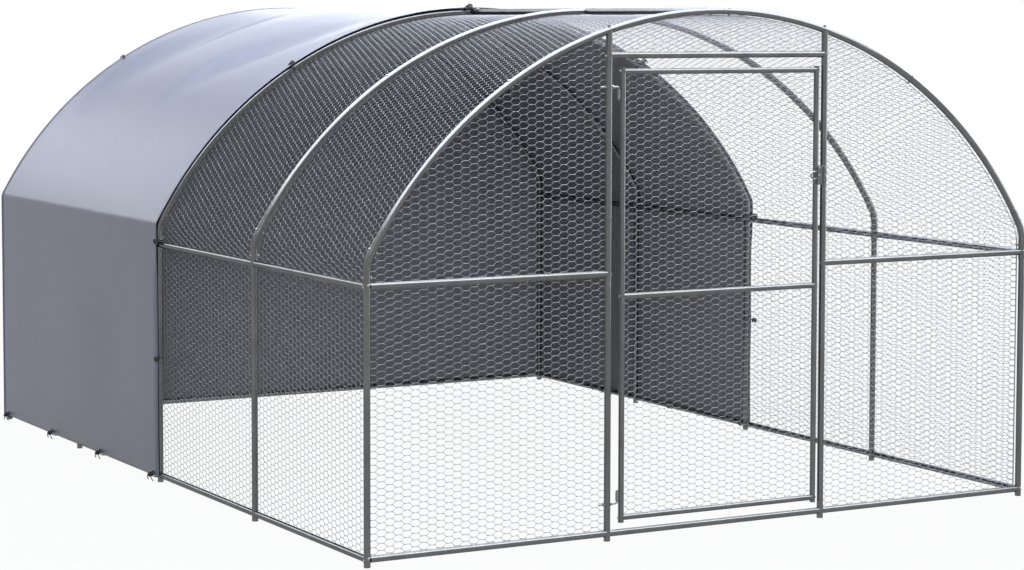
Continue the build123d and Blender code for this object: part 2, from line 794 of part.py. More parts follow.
# One tie: a strand from a knot in through the eyelet and round the tube, and two tails
def make_tie(place, upward, outward, aside, ring, face):
    def on_loop(angle):
        return place + (outward * cos(radians(angle)) + aside * sin(radians(angle))) * ring

    knot_place = place + aside * ring + outward * (face + eyelet_thickness + knot_radius)
    with BuildPart() as tie:
        with BuildLine() as path:
            Line(knot_place, on_loop(90))
            ThreePointArc(on_loop(90), on_loop(90 + tie_wrap / 2), on_loop(90 + tie_wrap))
        with BuildSketch(Plane(knot_place, z_dir=outward * -1)):
            Circle(cord_radius)
        sweep(path=path.wires()[0])
        with Locations(knot_place):
            Sphere(knot_radius)
        for hand in (-1, 1):
            tail = upward.cross(outward) * (hand * tail_spread) - upward * tail_length
            with BuildSketch(Plane(knot_place, z_dir=tail)):
                Circle(cord_radius)
            extrude(amount=tail.length)
    return tie.part.solid()


hand_in_group([make_tie(*tie) for tie in ties], "cover_ties")

with BuildPart() as eyelet:
    with BuildSketch():
        Circle(eyelet_diameter / 2)
        Circle(eyelet_bore / 2, mode=Mode.SUBTRACT)
    extrude(amount=eyelet_thickness)
eyelet_seats = [(place + aside * ring + out * face, out) for place, upward, out, aside, ring, face in ties]
group("cover_eyelets", [(eyelet.part.solid(), eyelet_seats)])

# Bolts through tubes and their nuts, set apart by how thick the joint is
tube_joint_bolts = []
sleeve_joint_bolts = []
for y in arch_spots:
    for angle in (-arch_joint, apex_bolt, arch_joint):
        tube_joint_bolts.append((arch_place(y, angle), arch_outward(angle)))
    for angle in (-elbow_top_bolt, elbow_top_bolt):
        sleeve_joint_bolts.append((arch_place(y, angle), arch_outward(angle)))
    for side in (-1, 1):
        sleeve_joint_bolts.append((Vector(side * half_width, y, elbow_low_bolt), Vector(side, 0, 0)))
for y in arch_spots[:-1]:
    for bolt_y in (y + ridge_bolt_distance, y + bay_length - ridge_bolt_distance):
        tube_joint_bolts.append((Vector(0, bolt_y, apex_height), up))
bolt_groups = []
nut_places = []
nut = make_nut(nut_width, nut_height, thread_hole)
for radius, joints in ((tube_radius, tube_joint_bolts), (sleeve_radius, sleeve_joint_bolts)):
    shank = 2 * radius + nut_height + bolt_tail
    bolt = make_bolt(bolt_radius, shank, head_diameter / 2, head_height, head_rim)
    bolt_groups.append((bolt, [(place + outward * radius, outward) for place, outward in joints]))
    nut_places += [(place - outward * (radius + seat_gap), outward * -1) for place, outward in joints]
group("tube_bolts", bolt_groups)
group("tube_nuts", [(nut, nut_places)])

# Bolts that pass through an upright into the threaded end of a rail: head place and outward direction
plain_bolts = []
sleeve_bolts = []
for side in (-1, 1):
    x = side * half_width
    out = Vector(side, 0, 0)
    for y, toward in ((front_y, -1), (back_y, 1)):
        plain_bolts.append((Vector(x, y, ground_height + bolt_stagger), Vector(0, toward, 0)))
        sleeve_bolts.append((Vector(x, y, eave_height + bolt_stagger), Vector(0, toward, 0)))
        plain_bolts.append((Vector(x, y, ground_height - bolt_stagger), out))
    sleeve_bolts.append((Vector(x, front_y, eave_height - bolt_stagger), out))
    post_x = side * door_post_offset
    plain_bolts.append((Vector(post_x, front_y, eave_height - bolt_stagger), out * -1))
    plain_bolts.append((Vector(post_x, front_y, header_height - bolt_stagger), out))
rail_reach = weld_nut_reach + weld_nut_length + bolt_tail
rail_bolt_groups = []
for radius, joints in ((tube_radius, plain_bolts), (sleeve_radius, sleeve_bolts)):
    bolt = make_bolt(bolt_radius, radius + rail_reach, head_diameter / 2, head_height, head_rim)
    rail_bolt_groups.append((bolt, [(place + outward * radius, outward) for place, outward in joints]))


# The bolt down through the arch into a door post: its collar is cut to sit on the sloping arch
def post_bolt(side):
    x = side * door_post_offset
    with BuildPart() as bolt:
        with BuildSketch(Plane((x, front_y, post_meets))):
            Circle(head_diameter / 2)
        extrude(amount=tube_radius + 2 * head_height)
        cut_arch_over_post(side, tube_radius + seat_gap)
        with BuildSketch(Plane((x, front_y, post_plug - bolt_tail))):
            Circle(bolt_radius)
        extrude(amount=post_meets + tube_radius + head_height - post_plug + bolt_tail)
    return bolt.part.solid()


rail_bolts = [bolt.moved(seat) for bolt, places in rail_bolt_groups for seat in seats(places)]
hand_in_group(rail_bolts + [post_bolt(side) for side in (-1, 1)], "rail_bolts")

# Studs through the uprights that have a rail on both sides
stud_places = []
for side in (-1, 1):
    for y in arch_spots[1:-1]:
        for height in (ground_height, eave_height):
            stud_place = Vector(side * half_width, y - rail_reach, height + bolt_stagger)
            stud_places.append((stud_place, Vector(0, 1, 0)))
    sill_stud = Vector(side * door_post_offset - rail_reach, front_y, ground_height - bolt_stagger)
    stud_places.append((sill_stud, Vector(1, 0, 0)))
with BuildPart() as stud:
    with BuildSketch():
        Circle(bolt_radius)
    extrude(amount=2 * rail_reach)
group("rail_studs", [(stud.part.solid(), stud_places)])

# Small screws from outside that lock the studs, and those of the latch keeper
keeper_left = latch_stile_x + latch_case_shift + latch_case_width / 2 + 2 * latch_tip_gap
leg_screws = []
sleeve_screws = []
for side in (-1, 1):
    out = Vector(side, 0, 0)
    for y in arch_spots[1:-1]:
        leg_screws.append((Vector(side * (half_width + tube_radius), y, ground_height + bolt_stagger), out))
        sleeve_place = Vector(side * (half_width + sleeve_radius), y, eave_height + bolt_stagger)
        sleeve_screws.append((sleeve_place, out))
keeper_screws = []
for rise in (0, keeper_screw_rise):
    keeper_screws.append((Vector(keeper_screw_x, latch_front, latch_height + rise), Vector(0, -1, 0)))
screw_groups = []
for length, places in (
    (tube_radius - bolt_radius - screw_play, leg_screws),
    (sleeve_radius - bolt_radius - screw_play, sleeve_screws),
    (front_y - latch_front, keeper_screws),
):
    screw = make_bolt(screw_radius, length, screw_head_diameter / 2, screw_head_height, screw_head_rim)
    screw_groups.append((screw, places))
group("frame_screws", screw_groups)

# Hinge pintles: a rod through the door post, bent down at the top and up at the bottom
pintle_start = -door_post_offset - tube_radius - pintle_tail
barrel_starts = {}
for name, height, turn in (("top", pintle_top_height, -1), ("bottom", pintle_bottom_height, 1)):
    bend_done = height + turn * pin_bend
    barrel_near = bend_done + turn * (collar_height + collar_gap)
    barrel_far = barrel_near + turn * barrel_height
    barrel_starts[name] = min(barrel_near, barrel_far)
    with BuildPart() as pintle:
        with BuildLine() as path:
            Line((pintle_start, front_y, height), (hinge_x - pin_bend, front_y, height))
            corner = pin_bend * (1 - sqrt(0.5))
            ThreePointArc(
                (hinge_x - pin_bend, front_y, height),
                (hinge_x - corner, front_y, height + turn * corner),
                (hinge_x, front_y, bend_done),
            )
            Line((hinge_x, front_y, bend_done), (hinge_x, front_y, barrel_far + turn * pin_over))
        with BuildSketch(Plane((pintle_start, front_y, height), z_dir=(1, 0, 0))):
            Circle(pin_radius)
        sweep(path=path.wires()[0])
        with BuildSketch(Plane((hinge_x, front_y, bend_done), z_dir=(0, 0, turn))):
            Circle(barrel_radius)
        extrude(amount=collar_height)
    hand_in(pintle, "hinge_pintle_" + name)

hinge_nut = make_nut(hinge_nut_width, hinge_nut_height, pin_radius + thread_play / 2)
hinge_nut_places = []
for height in (pintle_top_height, pintle_bottom_height):
    for toward in (-1, 1):
        nut_x = -door_post_offset + toward * tube_radius
        hinge_nut_places.append((Vector(nut_x, front_y, height), Vector(toward, 0, 0)))
group("hinge_nuts", [(hinge_nut, hinge_nut_places)])

# Hinge barrels, each with a web welded to the hinge stile
for name in ("top", "bottom"):
    low = barrel_starts[name]
    with BuildPart() as barrel:
        with BuildSketch(Plane((hinge_x, front_y, low))):
            Circle(barrel_radius)
            web_length = hinge_stile_x - hinge_x
            with Locations((web_length / 2, 0)):
                Rectangle(web_length, barrel_web)
            Circle(pin_radius + pin_play / 2, mode=Mode.SUBTRACT)
            with Locations((web_length, 0)):
                Circle(door_radius, mode=Mode.SUBTRACT)
        extrude(amount=barrel_height)
    hand_in(barrel, "hinge_barrel_" + name)

# Door stiles, rails and net
case_left = latch_stile_x + latch_case_shift - latch_case_width / 2
for name, x in (("hinge", hinge_stile_x), ("latch", latch_stile_x)):
    with BuildPart() as stile:
        with BuildSketch(Plane((x, front_y, stile_bottom))):
            Circle(door_radius)
            Circle(door_bore, mode=Mode.SUBTRACT)
        extrude(amount=stile_top - stile_bottom)
        for height in door_rail_heights:
            drill((x, front_y, height), (1, 0, 0), bolt_hole, door_tube_diameter)
        if name == "latch":
            for rise in (0, latch_screw_rise):
                screw_place = (x, front_y, latch_height + rise)
                drill(screw_place, (0, -1, 0), screw_hole, door_tube_diameter, both=False)
    hand_in(stile, "door_stile_" + name)

door_rails = []
for height in door_rail_heights:
    start = Vector(hinge_stile_x, front_y, height)
    end = Vector(latch_stile_x, front_y, height)
    door_rails.append(make_rail(start, end, door_radius, door_bore, 0, door_radius, door_radius))
hand_in_group(door_rails, "door_rails")

door_net_plane = Plane((0, front_y + door_radius + net_thickness, 0), x_dir=(1, 0, 0), z_dir=(0, -1, 0))
door_net_low = (hinge_stile_x, door_rail_heights[0])
door_net_high = (latch_stile_x, door_rail_heights[-1])
flat_net("door_net", door_net_plane, rectangle_net(door_net_low, door_net_high, gap_limit))

door_bolt = make_bolt(bolt_radius, door_radius + rail_reach, head_diameter / 2, head_height, head_rim)
door_bolt_places = []
for height in door_rail_heights:
    door_bolt_places.append((Vector(hinge_stile_x - door_radius, front_y, height), Vector(-1, 0, 0)))
    door_bolt_places.append((Vector(latch_stile_x + door_radius, front_y, height), Vector(1, 0, 0)))
group("door_bolts", [(door_bolt, door_bolt_places)])


# Latch case and keeper: blocks that sit on a round tube, bored for the two prongs of the bolt
def prong_holes(x, reach):
    for toward in (-1, 1):
        place = (x, front_y - prong_standoff, latch_height + toward * latch_pitch / 2)
        drill(place, (1, 0, 0), (prong_diameter + prong_play) / 2, reach)


def latch_block(left, width, tube_x, radius):
    block_middle = (left + width / 2, latch_height)
    with BuildSketch(Plane((0, latch_front, 0), x_dir=(1, 0, 0), z_dir=(0, -1, 0))) as block:
        with Locations(block_middle):
            RectangleRounded(width, latch_case_height, latch_case_corner)
    extrude(block.sketch, amount=-latch_case_depth)
    cope_uprights([(tube_x, front_y)], radius - cope_gap, 0, stile_top)
    prong_holes(left, width + latch_case_width)


with BuildPart() as latch_case:
    latch_block(case_left, latch_case_width, latch_stile_x, door_radius)
    for rise in (0, latch_screw_rise):
        drill((latch_stile_x, latch_front, latch_height + rise), (0, 1, 0), screw_hole, latch_case_depth)
hand_in(latch_case, "latch_case")

with BuildPart() as latch_keeper:
    latch_block(keeper_left, keeper_width, door_post_offset, tube_radius)
    for rise in (0, keeper_screw_rise):
        drill((keeper_screw_x, latch_front, latch_height + rise), (0, 1, 0), screw_hole, latch_case_depth)
hand_in(latch_keeper, "latch_keeper")

latch_screw = make_bolt(
    screw_radius,
    front_y - latch_front,
    screw_head_diameter / 2,
    screw_head_height,
    screw_head_rim,
)
latch_screw_places = []
for rise in (0, latch_screw_rise):
    latch_screw_places.append((Vector(latch_stile_x, latch_front, latch_height + rise), Vector(0, -1, 0)))
group("latch_screws", [(latch_screw, latch_screw_places)])

# Latch bolt: a U of round rod, drawn back so that the door is free
with BuildPart() as latch_bolt:
    tip_x = case_left + latch_case_width + latch_tip_gap
    bend_centre = case_left - latch_travel - latch_tip_gap / 2
    prong_y = front_y - prong_standoff
    prong_high = latch_height + latch_pitch / 2
    prong_low = latch_height - latch_pitch / 2
    with BuildLine() as path:
        Line((tip_x, prong_y, prong_high), (bend_centre, prong_y, prong_high))
        ThreePointArc(
            (bend_centre, prong_y, prong_high),
            (bend_centre - latch_pitch / 2, prong_y, latch_height),
            (bend_centre, prong_y, prong_low),
        )
        Line((bend_centre, prong_y, prong_low), (tip_x, prong_y, prong_low))
    with BuildSketch(Plane((tip_x, prong_y, prong_high), z_dir=(-1, 0, 0))):
        Circle(prong_diameter / 2)
    sweep(path=path.wires()[0])
hand_in(latch_bolt, "latch_bolt")
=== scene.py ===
import json
from math import asin, ceil, cos, pi, radians, sin, sqrt

import bpy
import numpy as np
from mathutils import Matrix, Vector


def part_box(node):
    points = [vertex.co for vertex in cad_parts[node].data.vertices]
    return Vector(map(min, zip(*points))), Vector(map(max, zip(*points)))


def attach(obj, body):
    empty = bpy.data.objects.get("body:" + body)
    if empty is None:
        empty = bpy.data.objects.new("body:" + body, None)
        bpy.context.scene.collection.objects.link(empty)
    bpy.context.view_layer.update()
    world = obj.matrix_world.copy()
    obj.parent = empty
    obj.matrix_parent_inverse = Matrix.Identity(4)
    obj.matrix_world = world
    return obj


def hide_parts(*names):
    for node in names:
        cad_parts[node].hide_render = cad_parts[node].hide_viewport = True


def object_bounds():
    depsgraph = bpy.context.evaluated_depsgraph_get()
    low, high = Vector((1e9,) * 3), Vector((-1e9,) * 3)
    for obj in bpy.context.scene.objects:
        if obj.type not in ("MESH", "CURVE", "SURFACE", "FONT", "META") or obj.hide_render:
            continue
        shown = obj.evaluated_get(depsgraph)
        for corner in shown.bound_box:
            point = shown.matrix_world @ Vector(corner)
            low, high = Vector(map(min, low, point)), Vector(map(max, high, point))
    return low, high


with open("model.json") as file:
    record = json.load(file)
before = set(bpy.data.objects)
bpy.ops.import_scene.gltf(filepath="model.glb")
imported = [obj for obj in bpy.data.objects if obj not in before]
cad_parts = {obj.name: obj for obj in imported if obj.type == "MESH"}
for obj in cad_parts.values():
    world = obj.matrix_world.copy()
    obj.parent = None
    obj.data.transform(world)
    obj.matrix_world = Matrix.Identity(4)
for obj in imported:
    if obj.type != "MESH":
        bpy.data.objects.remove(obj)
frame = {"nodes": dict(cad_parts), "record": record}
cad_low, cad_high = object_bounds()
nodes = frame["nodes"]

# Sizes in metres, read from the solids where they show there
leg_low, leg_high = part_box("leg_left_1")
tube_radius = (leg_high.x - leg_low.x) / 2
half_width = -(leg_high.x + leg_low.x) / 2
front_y = (leg_high.y + leg_low.y) / 2
back_y = -front_y
bay_count = 4
bay_length = (back_y - front_y) / bay_count
apex_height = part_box("arch_1")[1].z - tube_radius
corner_height = 1.1
bend_radius = 0.12
sleeve_radius = 0.014
arch_rise = apex_height - corner_height
arch_radius = (half_width**2 + arch_rise**2) / (2 * arch_rise)
arch_centre = apex_height - arch_radius
eave_height = sum(end.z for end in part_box("eave_rails_left")) / 2
ground_height = sum(end.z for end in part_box("ground_rails_left")) / 2
line_step = 0.02
corner_steps = 14

# Netting: pitch along the twisted sides, pitch of the rows, share of the slanted sides, wire
cell_across = 0.0345
cell_up = 0.025
cell_slant = 0.3
wire_radius = 0.00094
wire_sides = 3
border_radius = 0.0014
border_sides = 6
border_step = 0.05
gable_steps = 60
cut_halvings = 14
roof_net_gap = 3 * wire_radius

# Fabric cover
cover_low, cover_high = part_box("cover")
cover_front = cover_low.y
cover_bottom = cover_low.z
cover_offset = cover_high.x - half_width
cover_thickness = 0.001
cover_bend = 0.045
covered_bays = 2
cover_y = front_y + (bay_count - covered_bays) * bay_length
cover_columns = 104
back_rows = 60
back_sheet_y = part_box("cover_back")[1].y
hem_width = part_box("cover_hem")[1].y - cover_front
hem_lift = 0.0007
hem_turn = 0.002
slack = 0.009
slack_skew = 1.4
side_slack = 0.004
arch_hold = 4
front_scallop = 0.005
front_reach = 0.006
arch_reach = 0.004
arch_reach_rise = 0.15
edge_curl = 0.0042
edge_curl_width = 0.008
edge_curl_end = 0.12
bottom_scallop = 0.005
bottom_scallop_rise = 0.25
back_bulge = 0.006
piping_radius = 0.0042
piping_sides = 10

# Soft folds in the roof: length along the tunnel line and place along the run at both ends,
# width, height
roof_folds = [
    (1.5, 1.85, 2.7, 1.35, 0.24, -0.026),
    (2.0, 1.52, 2.8, 1.27, 0.035, -0.007),
    (1.6, 1.0, 2.65, 0.1, 0.2, -0.026),
]

# Bolts of the arch joints that press into the cover
bolt_press = 0.0025
bolt_spread = 0.012
joint_offset = 0.915

# Cord ties; angles round the tube in degrees, from straight outward
cord_radius = 0.0021
cord_ease = 0.0002
cord_steps = 5
loop_start = 90
loop_step = 36
loop_end_at_edge = 270
loop_end_closed = 414
loop_low = 0.6
loop_wide = 0.8
knot_radius = 0.0095
back_knot_radius = 0.005
knot_weave = 0.0012
knot_leads = 3
knot_bights = 5
knot_steps = 40
knot_tilt = pi / 3
knot_ahead = 0.0105
knot_out = 0.006
ground_tail = 0.026
post_tail = 0.015
tail_spread = 0.015
ground_spread = 0.028
tail_lift = 0.003
tail_steps = 8
tail_bend_drop = 0.4
tail_bend_spread = 0.7
tie_low_height = 0.532
tie_high_gap = 0.005
tie_arch_offset = 0.879
tie_crown_offset = 0.024
ground_tie_count = 4
ground_tie_edge = 0.04

# Camera, in the photograph's frame of 1024 by 570
image_width = 1024
focal_pixels = 2626.9
sensor_width = 36.0
camera_place = (-5.595, -10.394, 1.969)
camera_yaw = 29.176
camera_pitch = -4.124
camera_roll = -0.12
camera_shift = -0.075

# Surfaces: length after which a wave texture repeats at a scale of 1, spread of the roughness,
# gain of the zinc's tones
wave_repeat = pi / 10
zinc_rough_spread = 0.1
cloth_rough_spread = 0.08
zinc_tone_gain = 0.6


# Materials: a node with its settings and inputs, where an input may be another node's output
def add_node(tree, kind, inputs=None, **settings):
    made = tree.nodes.new(kind)
    for key, value in settings.items():
        setattr(made, key, value)
    for key, value in (inputs or {}).items():
        if isinstance(value, bpy.types.NodeSocket):
            tree.links.new(value, made.inputs[key])
        else:
            made.inputs[key].default_value = value
    return made


def new_material(name):
    material = bpy.data.materials.new(name)
    material.use_nodes = True
    tree = material.node_tree
    return material, tree, tree.nodes["Principled BSDF"]


def between(tree, value, low, high):
    inputs = {"Value": value, "To Min": low, "To Max": high}
    return add_node(tree, "ShaderNodeMapRange", inputs).outputs["Result"]


def two_colours(tree, share, first, second):
    inputs = {"Factor": share, "A": (*first, 1), "B": (*second, 1)}
    return add_node(tree, "ShaderNodeMix", inputs, data_type="RGBA").outputs["Result"]


# Zinc on steel: crystals of a few millimetres, cloudy patches and a fine grain
def zinc_material(name, dark, light, roughness, metallic, crystal=220.0, specular=0.5, rim=1.0):
    material, tree, shader = new_material(name)
    place = add_node(tree, "ShaderNodeTexCoord").outputs["Object"]
    crystals = add_node(tree, "ShaderNodeTexVoronoi", {"Vector": place, "Scale": crystal})
    shades = {"Color": crystals.outputs["Color"]}
    tone = add_node(tree, "ShaderNodeSeparateColor", shades).outputs["Red"]
    clouds = add_node(tree, "ShaderNodeTexNoise", {"Vector": place, "Scale": 9.0, "Detail": 4.0})
    grain = add_node(tree, "ShaderNodeTexNoise", {"Vector": place, "Scale": 900.0, "Detail": 2.0})
    cloud = clouds.outputs["Fac"]
    mottled = {0: tone, 1: cloud, 2: cloud}
    share = add_node(tree, "ShaderNodeMath", mottled, operation="MULTIPLY_ADD")
    gained = {0: share.outputs[0], 1: zinc_tone_gain}
    blend = add_node(tree, "ShaderNodeMath", gained, operation="MULTIPLY", use_clamp=True)
    tree.links.new(two_colours(tree, blend.outputs[0], dark, light), shader.inputs["Base Color"])
    rough = between(tree, cloud, roughness - zinc_rough_spread, roughness + zinc_rough_spread)
    tree.links.new(rough, shader.inputs["Roughness"])
    pits = {"Height": grain.outputs["Fac"], "Strength": 0.12, "Distance": 0.0004}
    bump = add_node(tree, "ShaderNodeBump", pits)
    tree.links.new(bump.outputs["Normal"], shader.inputs["Normal"])
    shader.inputs["Metallic"].default_value = metallic
    shader.inputs["Specular IOR Level"].default_value = specular
    shader.inputs["Specular Tint"].default_value = (rim, rim, rim, 1)
    return material


# Plain weave of threads along two directions of the cloth's own map, or of space on a cord, in metres
def weave_height(tree, pitch, mapped):
    if mapped:
        flat = add_node(tree, "ShaderNodeUVMap", uv_map="cloth").outputs["UV"]
    else:
        flat = add_node(tree, "ShaderNodeTexCoord").outputs["Object"]
    threads = []
    for direction in ("X", "Y"):
        bands = {"Vector": flat, "Scale": wave_repeat / pitch}
        wave = add_node(tree, "ShaderNodeTexWave", bands, bands_direction=direction)
        threads.append(wave.outputs["Fac"])
    joined = add_node(tree, "ShaderNodeMath", {0: threads[0], 1: threads[1]}, operation="ADD")
    return flat, joined.outputs[0]


def cloth_material(name, dark, light, roughness, sheen, pitch, specular=0.3, mapped=True):
    material, tree, shader = new_material(name)
    flat, weave = weave_height(tree, pitch, mapped)
    patches = {"Vector": flat, "Scale": 2.2, "Detail": 5.0, "Roughness": 0.55}
    clouds = add_node(tree, "ShaderNodeTexNoise", patches)
    slubs = add_node(tree, "ShaderNodeTexNoise", {"Vector": flat, "Scale": 420.0, "Detail": 2.0})
    slub = slubs.outputs["Fac"]
    mottled = {"Factor": 0.35, "A": clouds.outputs["Fac"], "B": slub}
    tone = add_node(tree, "ShaderNodeMix", mottled).outputs["Result"]
    tree.links.new(two_colours(tree, tone, dark, light), shader.inputs["Base Color"])
    rough = between(tree, slub, roughness - cloth_rough_spread, roughness + cloth_rough_spread)
    tree.links.new(rough, shader.inputs["Roughness"])
    bump = add_node(tree, "ShaderNodeBump", {"Height": weave, "Strength": 0.25, "Distance": 0.0003})
    tree.links.new(bump.outputs["Normal"], shader.inputs["Normal"])
    shader.inputs["Sheen Weight"].default_value = sheen
    shader.inputs["Sheen Roughness"].default_value = 0.5
    shader.inputs["Specular IOR Level"].default_value = specular
    return material


tube_tones = (0.094, 0.095, 0.096), (0.177, 0.179, 0.182)
galvanised = zinc_material("galvanised_tube", *tube_tones, 0.22, 0.92, rim=0.55)
wire_tones = (0.34, 0.342, 0.345), (0.47, 0.473, 0.48)
wire_zinc = zinc_material("galvanised_wire", *wire_tones, 0.55, 0.05, 90.0, 0.3)
plate_tones = (0.16, 0.16, 0.16), (0.3, 0.3, 0.298)
zinc_plate = zinc_material("zinc_hardware", *plate_tones, 0.34, 0.9, 400.0)
latch_tones = (0.09, 0.091, 0.093), (0.17, 0.171, 0.174)
latch_coat = zinc_material("latch_metal", *latch_tones, 0.42, 0.7, 300.0)
cover_tones = (0.166, 0.17, 0.217), (0.208, 0.213, 0.27)
cover_outside = cloth_material("cover_outside", *cover_tones, 0.3, 0.1, 0.0009, 0.25)
# The cover's inner face is the same cloth as the outside, painted lighter than it: painted light that
# lifts the shade inside the run
inner_face_painted_light_tones = (0.33, 0.327, 0.348), (0.385, 0.381, 0.406)
cover_inside = cloth_material("cover_inside", *inner_face_painted_light_tones, 0.6, 0.1, 0.0009)
cover_faces = [cover_outside, cover_inside]
cord_tones = (0.009, 0.009, 0.01), (0.02, 0.02, 0.022)
cord_black = cloth_material("cord", *cord_tones, 0.6, 0.1, 0.0012, mapped=False)

finishes = {
    "tube": galvanised,
    "wire": wire_zinc,
    "zinc_hardware": zinc_plate,
    "latch_metal": latch_coat,
    "cover": cover_outside,
    "black_trim": cord_black,
}
for part in frame["record"]["subparts"]:
    mesh = nodes[part["node"]].data
    mesh.materials.clear()
    mesh.materials.append(finishes[part["material_slot"]])


# Mesh pieces from arrays of points and of four-sided faces
def quad_mesh(name, points, quads, materials):
    mesh = bpy.data.meshes.new(name)
    mesh.vertices.add(len(points))
    mesh.vertices.foreach_set("co", np.asarray(points, np.float32).ravel())
    mesh.loops.add(4 * len(quads))
    mesh.loops.foreach_set("vertex_index", np.asarray(quads, np.int32).ravel())
    mesh.polygons.add(len(quads))
    mesh.polygons.foreach_set("loop_start", np.arange(0, 4 * len(quads), 4, dtype=np.int32))
    mesh.polygons.foreach_set("use_smooth", np.full(len(quads), True))
    mesh.update(calc_edges=True)
    mesh.validate()
    for material in materials:
        mesh.materials.append(material)
    made = bpy.data.objects.new(name, mesh)
    bpy.context.scene.collection.objects.link(made)
    return made


# Point numbers of a grid with its rows one after another, as four-sided faces
def grid_quads(rows, columns, closed=False):
    steps = columns if closed else columns - 1
    row, column = np.meshgrid(np.arange(rows - 1), np.arange(steps), indexing="ij")
    here, beside = row * columns, (column + 1) % columns
    there = here + columns
    corners = [here + column, here + beside, there + beside, there + column]
    return np.stack(corners, axis=-1).reshape(-1, 4)


def set_cloth_map(made, flat):
    layer = made.data.uv_layers.new(name="cloth")
    index = np.zeros(len(made.data.loops), np.int32)
    made.data.loops.foreach_get("vertex_index", index)
    layer.data.foreach_set("uv", np.asarray(flat, np.float32)[index].ravel())


# Gives a surface the cloth's thickness on its inner side, with the inner-face material (painted lighter
# as fill light) as the inner face
def thicken(made):
    sheet = made.modifiers.new("thickness", "SOLIDIFY")
    sheet.thickness = cover_thickness
    sheet.offset = -1
    sheet.material_offset = 1


# A round tube along points, with a frame carried from point to point
def tube_points(path, radius, sides):
    path = np.asarray(path, float)
    along = np.gradient(path, axis=0)
    along /= np.linalg.norm(along, axis=1)[:, None]
    off_axis = (0.31, 0.74, 0.59)
    side = np.cross(along[0], off_axis)
    rings = []
    for place, ahead in zip(path, along):
        side = side - ahead * (side @ ahead)
        side /= np.linalg.norm(side)
        third = np.cross(ahead, side)
        turn = np.arange(sides) * 2 * pi / sides
        rings.append(place + radius * (np.cos(turn)[:, None] * side + np.sin(turn)[:, None] * third))
    return np.concatenate(rings)


# The line of the tunnel at a distance outside the tube axes:
# places, outward directions and length so far
def tunnel_line(offset, bottom, bend):
    reach = arch_radius + offset
    wall = half_width + offset
    turn_x = wall - bend
    turn_z = arch_centre + sqrt((reach - bend) ** 2 - turn_x**2)
    turn_angle = asin(turn_x / (reach - bend))
    straight = np.linspace(bottom, turn_z, ceil((turn_z - bottom) / line_step), endpoint=False)
    corner = np.linspace(pi / 2, turn_angle, corner_steps, endpoint=False)
    crown = np.linspace(turn_angle, 0, ceil(turn_angle * reach / line_step))
    upright = np.ones(len(straight))
    x = np.concatenate([wall * upright, turn_x + bend * np.sin(corner), reach * np.sin(crown)])
    z = np.concatenate([straight, turn_z + bend * np.cos(corner), arch_centre + reach * np.cos(crown)])
    tilt = np.concatenate([pi / 2 * upright, corner, crown])
    places = np.stack([np.append(-x, x[-2::-1]), np.append(z, z[-2::-1])], axis=1)
    lean_x, lean_z = np.sin(tilt), np.cos(tilt)
    outward = np.stack([np.append(-lean_x, lean_x[-2::-1]), np.append(lean_z, lean_z[-2::-1])], axis=1)
    length = np.concatenate([[0], np.cumsum(np.linalg.norm(np.diff(places, axis=0), axis=1))])
    return places, outward, length


# The two coordinates of a tunnel line's places or directions at lengths along it
def at_length(length, line_length, pairs):
    return [np.interp(length, line_length, pairs[:, axis]) for axis in (0, 1)]


# Height of an arch tube's axis
def arch_top(x):
    return arch_centre + np.sqrt(np.maximum(arch_radius**2 - np.asarray(x) ** 2, 0))


# Wire netting, woven in a flat map: on each level side a pair of wires winds half a turn
# round each other, with three rings for each wire
def woven_net(low, high, inside):
    spare_columns, spare_rows = 2, 3
    columns = ceil((high[0] - low[0]) / cell_across) + spare_columns
    rows = ceil((high[1] - low[1]) / cell_up) + spare_rows
    column, row = np.meshgrid(np.arange(columns), np.arange(rows), indexing="ij")
    middle_u = low[0] + (column - 0.5) * cell_across
    middle_v = low[1] + (row - 1 + 0.5 * (column % 2)) * cell_up
    flat = cell_across * (1 - cell_slant) / 2
    lean = np.arctan2(cell_up / 2, cell_across - 2 * flat) / 2
    turn = pi / 2 + np.arange(wire_sides) * 2 * pi / wire_sides
    centres = []
    rings = []
    for rise in (1, -1):
        for share in (-1, 0, 1):
            u = middle_u + share * flat
            v = middle_v + share * rise * wire_radius
            n = np.full(u.shape, (1 - abs(share)) * rise * wire_radius)
            tilt = rise * lean * abs(share)
            across = wire_radius * np.cos(turn) / cos(tilt)
            centres.append(np.stack([u, v], axis=-1).reshape(-1, 2))
            ring_u = u[..., None] - np.sin(tilt) * across
            ring_v = v[..., None] + np.cos(tilt) * across
            ring_n = n[..., None] + wire_radius * np.sin(turn)
            rings.append(np.stack([ring_u, ring_v, ring_n], axis=-1).reshape(-1, wire_sides, 3))
    cells = columns * rows
    number = (column * rows + row).reshape(-1)
    spans = []
    for strand, rise in ((0, 1), (3, -1)):
        spans.append(np.stack([strand * cells + number, (strand + 1) * cells + number], axis=1))
        spans.append(np.stack([(strand + 1) * cells + number, (strand + 2) * cells + number], axis=1))
        next_row = row + np.where(column % 2 == 0, 0, 1) - (1 if rise < 0 else 0)
        real = ((column + 1 < columns) & (next_row >= 0) & (next_row < rows)).reshape(-1)
        beyond = ((column + 1) * rows + next_row).reshape(-1)
        slants = np.stack([(strand + 2) * cells + number, strand * cells + beyond], axis=1)
        spans.append(slants[real])
    return cut_net(np.concatenate(centres), np.concatenate(rings), np.concatenate(spans), inside)


